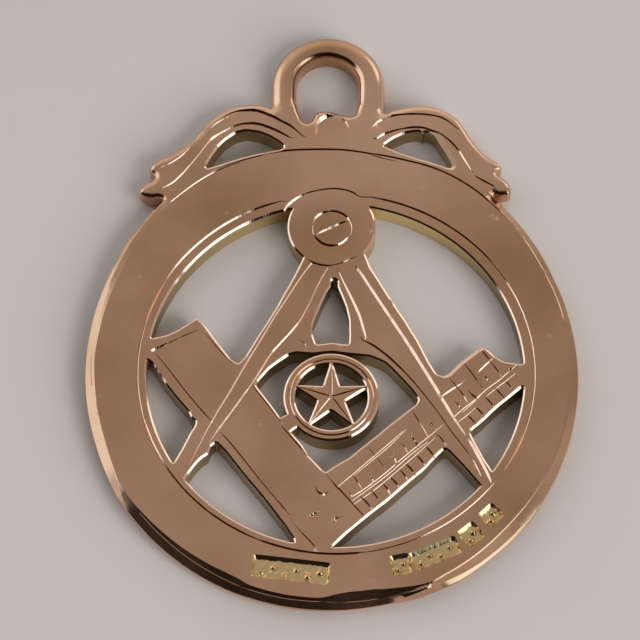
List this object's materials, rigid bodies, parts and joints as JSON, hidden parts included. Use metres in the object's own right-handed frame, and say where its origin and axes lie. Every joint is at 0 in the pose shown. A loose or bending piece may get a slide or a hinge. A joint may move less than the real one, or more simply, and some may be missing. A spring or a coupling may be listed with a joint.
{
  "type": "masonic watch fob",
  "caption": "Round pierced rose-gold watch fob with a set square and compasses, a star ring, a ribbon bow and a hanging eye.",
  "frame": {"origin": "centre of the bounding box on the flat back, which lies on the surface", "axes": "+Z out of the engraved face, +Y along the face from the square's corner up to the hanging eye, +X to the right as the face is seen"},
  "size_m": [0.027, 0.0346, 0.0013],
  "materials": {
    "rose_gold": "polished, worn"
  },
  "bodies": {
    "root": {"fob_plate": "rose_gold"}
  },
  "joints": []
}
